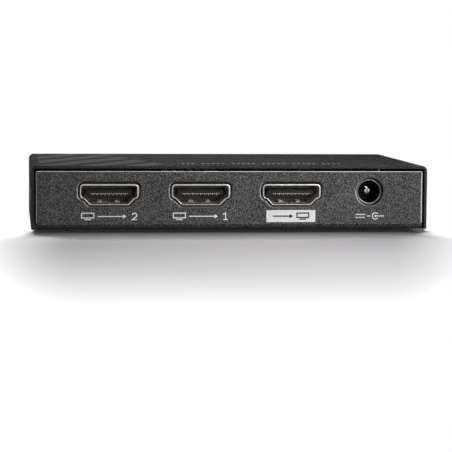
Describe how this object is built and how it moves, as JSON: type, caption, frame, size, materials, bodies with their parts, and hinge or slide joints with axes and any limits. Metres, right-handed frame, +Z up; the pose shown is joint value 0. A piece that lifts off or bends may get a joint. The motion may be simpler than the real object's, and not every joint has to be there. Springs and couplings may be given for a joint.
{
  "type": "video splitter",
  "caption": "Low folded sheet steel box with a row of digital video sockets and a round power inlet; it repeats an incoming picture to more than one screen.",
  "frame": {"origin": "on the surface that the feet stand on, under the middle of the case", "axes": "+X to the right as seen from the port panel, +Y away from the port panel, +Z up"},
  "size_m": [0.1, 0.06, 0.0172],
  "materials": {
    "case_paint": "fine sandy powder coat, charcoal",
    "screw_steel": "zinc plated, cross recess",
    "foot_rubber": "matt",
    "board_laminate": "black solder mask over glass laminate",
    "nickel_plate": "warm bright nickel",
    "gold_plate": "gold flash",
    "moulded_black": "moulded, slightly glossy",
    "chip_black": "moulding compound",
    "tinned_lead": "tinned",
    "thermal_pad": "soft silicone",
    "bare_aluminium": "extruded",
    "ferrite": "ferrite",
    "ceramic_tan": "fired ceramic",
    "lamp_lens": "water clear"
  },
  "bodies": {
    "root": {"top_cover": "case_paint", "base_tray": "case_paint", "cover_screws": "screw_steel", "rubber_feet": "foot_rubber", "standoffs": "screw_steel", "board_screws": "screw_steel", "circuit_board": "board_laminate", "out2_shell": "nickel_plate", "out2_insulator": "moulded_black", "out2_contacts": "gold_plate", "out1_shell": "nickel_plate", "out1_insulator": "moulded_black", "out1_contacts": "gold_plate", "in_shell": "nickel_plate", "in_insulator": "moulded_black", "in_contacts": "gold_plate", "jack_housing": "moulded_black", "jack_pin": "nickel_plate", "jack_sleeve_spring": "nickel_plate", "jack_switch_contact": "nickel_plate", "splitter_chip": "chip_black", "splitter_chip_leads": "tinned_lead", "thermal_pad": "thermal_pad", "heat_sink": "bare_aluminium", "memory_chip": "chip_black", "memory_chip_leads": "tinned_lead", "crystal": "nickel_plate", "regulators": "chip_black", "regulator_leads": "tinned_lead", "inductor": "ferrite", "electrolytic_capacitors": "bare_aluminium", "chip_capacitors": "ceramic_tan", "chip_resistors": "chip_black", "surge_arrays": "chip_black", "status_lamps": "lamp_lens", "lamp_leads": "tinned_lead"}
  },
  "joints": []
}
